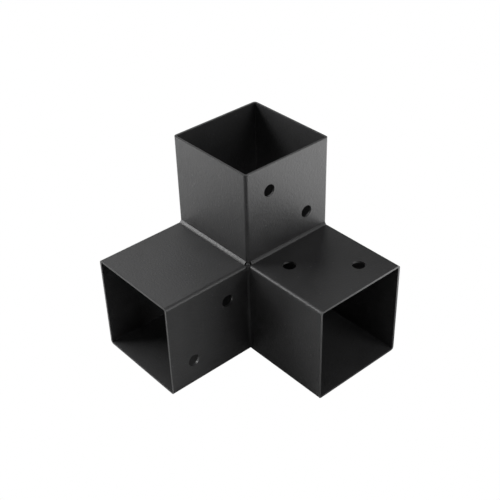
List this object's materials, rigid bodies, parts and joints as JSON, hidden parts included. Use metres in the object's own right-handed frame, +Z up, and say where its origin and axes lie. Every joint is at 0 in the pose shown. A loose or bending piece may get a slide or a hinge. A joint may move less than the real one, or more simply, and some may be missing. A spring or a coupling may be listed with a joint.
{
  "type": "square beam connector",
  "caption": "Black steel corner connector whose square sleeves, at right angles round one open corner, hold the ends of timber beams with screws.",
  "frame": {"origin": "middle of the upright sleeve's footprint, on the flat underside", "axes": "+Z up along the upright sleeve; +X and +Y out along the two level sleeves"},
  "size_m": [0.1815, 0.1815, 0.1815],
  "materials": {
    "coated_steel": "satin black powder coat"
  },
  "bodies": {
    "root": {"connector": "coated_steel"}
  },
  "joints": []
}
